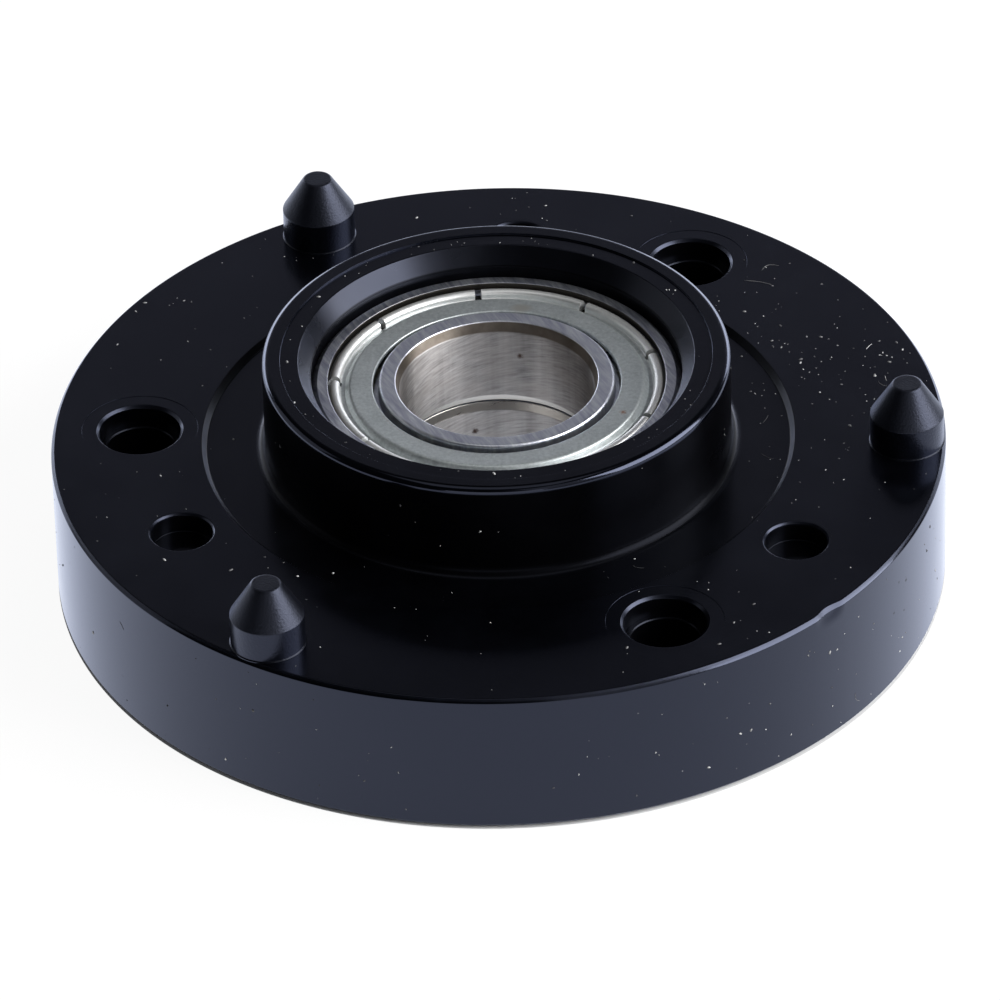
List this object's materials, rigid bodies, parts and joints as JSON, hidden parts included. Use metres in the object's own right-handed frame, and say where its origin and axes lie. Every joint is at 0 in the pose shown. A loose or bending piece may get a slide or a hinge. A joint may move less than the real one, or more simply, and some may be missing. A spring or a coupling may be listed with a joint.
{
  "type": "bearing housing",
  "caption": "Round flanged plastic bearing housing with a central hub holding a stacked pair of shielded ball bearings, pointed locating pins and stepped screw holes.",
  "frame": {"origin": "centre of the underside, on the bearing axis", "axes": "+Z along the bearing axis from the flange to the hub, +X towards one locating pin"},
  "size_m": [0.046, 0.046, 0.0129],
  "materials": {
    "black_plastic": "machined acetal, semi-gloss black",
    "ring_steel": "ground bearing steel",
    "shield_steel": "matt stamped steel sheet",
    "cage_nylon": "natural nylon",
    "ball_steel": "polished bearing steel"
  },
  "bodies": {
    "housing": {"housing": "black_plastic", "upper_outer_ring": "ring_steel", "upper_shield": "shield_steel", "lower_outer_ring": "ring_steel", "lower_shield": "shield_steel"},
    "upper_inner": {"upper_inner_ring": "ring_steel"},
    "upper_cage": {"upper_cage": "cage_nylon"},
    "upper_ball_01": {"upper_ball_01": "ball_steel"},
    "upper_ball_02": {"upper_ball_02": "ball_steel"},
    "upper_ball_03": {"upper_ball_03": "ball_steel"},
    "upper_ball_04": {"upper_ball_04": "ball_steel"},
    "upper_ball_05": {"upper_ball_05": "ball_steel"},
    "upper_ball_06": {"upper_ball_06": "ball_steel"},
    "upper_ball_07": {"upper_ball_07": "ball_steel"},
    "upper_ball_08": {"upper_ball_08": "ball_steel"},
    "upper_ball_09": {"upper_ball_09": "ball_steel"},
    "upper_ball_10": {"upper_ball_10": "ball_steel"},
    "lower_inner": {"lower_inner_ring": "ring_steel"},
    "lower_cage": {"lower_cage": "cage_nylon"},
    "lower_ball_01": {"lower_ball_01": "ball_steel"},
    "lower_ball_02": {"lower_ball_02": "ball_steel"},
    "lower_ball_03": {"lower_ball_03": "ball_steel"},
    "lower_ball_04": {"lower_ball_04": "ball_steel"},
    "lower_ball_05": {"lower_ball_05": "ball_steel"},
    "lower_ball_06": {"lower_ball_06": "ball_steel"},
    "lower_ball_07": {"lower_ball_07": "ball_steel"},
    "lower_ball_08": {"lower_ball_08": "ball_steel"},
    "lower_ball_09": {"lower_ball_09": "ball_steel"},
    "lower_ball_10": {"lower_ball_10": "ball_steel"}
  },
  "joints": [
    {"name": "upper_inner_turn", "type": "hinge", "parent": "housing", "child": "upper_inner", "pos_m": [0, 0, 0.0089], "axis": [0, 0, 1], "continuous": true},
    {"name": "upper_cage_turn", "type": "hinge", "parent": "housing", "child": "upper_cage", "pos_m": [0, 0, 0.0089], "axis": [0, 0, 1], "continuous": true},
    {"name": "upper_ball_01_roll", "type": "hinge", "parent": "upper_cage", "child": "upper_ball_01", "pos_m": [0.00725, 0, 0.0089], "axis": [0, 0, 1], "continuous": true},
    {"name": "upper_ball_02_roll", "type": "hinge", "parent": "upper_cage", "child": "upper_ball_02", "pos_m": [0.00587, 0.00426, 0.0089], "axis": [0, 0, 1], "continuous": true},
    {"name": "upper_ball_03_roll", "type": "hinge", "parent": "upper_cage", "child": "upper_ball_03", "pos_m": [0.00224, 0.0069, 0.0089], "axis": [0, 0, 1], "continuous": true},
    {"name": "upper_ball_04_roll", "type": "hinge", "parent": "upper_cage", "child": "upper_ball_04", "pos_m": [-0.00224, 0.0069, 0.0089], "axis": [0, 0, 1], "continuous": true},
    {"name": "upper_ball_05_roll", "type": "hinge", "parent": "upper_cage", "child": "upper_ball_05", "pos_m": [-0.00587, 0.00426, 0.0089], "axis": [0, 0, 1], "continuous": true},
    {"name": "upper_ball_06_roll", "type": "hinge", "parent": "upper_cage", "child": "upper_ball_06", "pos_m": [-0.00725, 0, 0.0089], "axis": [0, 0, 1], "continuous": true},
    {"name": "upper_ball_07_roll", "type": "hinge", "parent": "upper_cage", "child": "upper_ball_07", "pos_m": [-0.00587, -0.00426, 0.0089], "axis": [0, 0, 1], "continuous": true},
    {"name": "upper_ball_08_roll", "type": "hinge", "parent": "upper_cage", "child": "upper_ball_08", "pos_m": [-0.00224, -0.0069, 0.0089], "axis": [0, 0, 1], "continuous": true},
    {"name": "upper_ball_09_roll", "type": "hinge", "parent": "upper_cage", "child": "upper_ball_09", "pos_m": [0.00224, -0.0069, 0.0089], "axis": [0, 0, 1], "continuous": true},
    {"name": "upper_ball_10_roll", "type": "hinge", "parent": "upper_cage", "child": "upper_ball_10", "pos_m": [0.00587, -0.00426, 0.0089], "axis": [0, 0, 1], "continuous": true},
    {"name": "lower_inner_turn", "type": "hinge", "parent": "housing", "child": "lower_inner", "pos_m": [0, 0, 0.0039], "axis": [0, 0, 1], "continuous": true},
    {"name": "lower_cage_turn", "type": "hinge", "parent": "housing", "child": "lower_cage", "pos_m": [0, 0, 0.0039], "axis": [0, 0, 1], "continuous": true},
    {"name": "lower_ball_01_roll", "type": "hinge", "parent": "lower_cage", "child": "lower_ball_01", "pos_m": [0.00725, 0, 0.0039], "axis": [0, 0, 1], "continuous": true},
    {"name": "lower_ball_02_roll", "type": "hinge", "parent": "lower_cage", "child": "lower_ball_02", "pos_m": [0.00587, -0.00426, 0.0039], "axis": [0, 0, 1], "continuous": true},
    {"name": "lower_ball_03_roll", "type": "hinge", "parent": "lower_cage", "child": "lower_ball_03", "pos_m": [0.00224, -0.0069, 0.0039], "axis": [0, 0, 1], "continuous": true},
    {"name": "lower_ball_04_roll", "type": "hinge", "parent": "lower_cage", "child": "lower_ball_04", "pos_m": [-0.00224, -0.0069, 0.0039], "axis": [0, 0, 1], "continuous": true},
    {"name": "lower_ball_05_roll", "type": "hinge", "parent": "lower_cage", "child": "lower_ball_05", "pos_m": [-0.00587, -0.00426, 0.0039], "axis": [0, 0, 1], "continuous": true},
    {"name": "lower_ball_06_roll", "type": "hinge", "parent": "lower_cage", "child": "lower_ball_06", "pos_m": [-0.00725, 0, 0.0039], "axis": [0, 0, 1], "continuous": true},
    {"name": "lower_ball_07_roll", "type": "hinge", "parent": "lower_cage", "child": "lower_ball_07", "pos_m": [-0.00587, 0.00426, 0.0039], "axis": [0, 0, 1], "continuous": true},
    {"name": "lower_ball_08_roll", "type": "hinge", "parent": "lower_cage", "child": "lower_ball_08", "pos_m": [-0.00224, 0.0069, 0.0039], "axis": [0, 0, 1], "continuous": true},
    {"name": "lower_ball_09_roll", "type": "hinge", "parent": "lower_cage", "child": "lower_ball_09", "pos_m": [0.00224, 0.0069, 0.0039], "axis": [0, 0, 1], "continuous": true},
    {"name": "lower_ball_10_roll", "type": "hinge", "parent": "lower_cage", "child": "lower_ball_10", "pos_m": [0.00587, 0.00426, 0.0039], "axis": [0, 0, 1], "continuous": true}
  ],
  "couplings": [
    {"joint": "upper_cage_turn", "follows": "upper_inner_turn", "ratio": 0.4179},
    {"joint": "upper_ball_01_roll", "follows": "upper_inner_turn", "ratio": -2.9628},
    {"joint": "upper_ball_02_roll", "follows": "upper_inner_turn", "ratio": -2.9628},
    {"joint": "upper_ball_03_roll", "follows": "upper_inner_turn", "ratio": -2.9628},
    {"joint": "upper_ball_04_roll", "follows": "upper_inner_turn", "ratio": -2.9628},
    {"joint": "upper_ball_05_roll", "follows": "upper_inner_turn", "ratio": -2.9628},
    {"joint": "upper_ball_06_roll", "follows": "upper_inner_turn", "ratio": -2.9628},
    {"joint": "upper_ball_07_roll", "follows": "upper_inner_turn", "ratio": -2.9628},
    {"joint": "upper_ball_08_roll", "follows": "upper_inner_turn", "ratio": -2.9628},
    {"joint": "upper_ball_09_roll", "follows": "upper_inner_turn", "ratio": -2.9628},
    {"joint": "upper_ball_10_roll", "follows": "upper_inner_turn", "ratio": -2.9628},
    {"joint": "lower_cage_turn", "follows": "lower_inner_turn", "ratio": 0.4179},
    {"joint": "lower_ball_01_roll", "follows": "lower_inner_turn", "ratio": -2.9628},
    {"joint": "lower_ball_02_roll", "follows": "lower_inner_turn", "ratio": -2.9628},
    {"joint": "lower_ball_03_roll", "follows": "lower_inner_turn", "ratio": -2.9628},
    {"joint": "lower_ball_04_roll", "follows": "lower_inner_turn", "ratio": -2.9628},
    {"joint": "lower_ball_05_roll", "follows": "lower_inner_turn", "ratio": -2.9628},
    {"joint": "lower_ball_06_roll", "follows": "lower_inner_turn", "ratio": -2.9628},
    {"joint": "lower_ball_07_roll", "follows": "lower_inner_turn", "ratio": -2.9628},
    {"joint": "lower_ball_08_roll", "follows": "lower_inner_turn", "ratio": -2.9628},
    {"joint": "lower_ball_09_roll", "follows": "lower_inner_turn", "ratio": -2.9628},
    {"joint": "lower_ball_10_roll", "follows": "lower_inner_turn", "ratio": -2.9628}
  ]
}
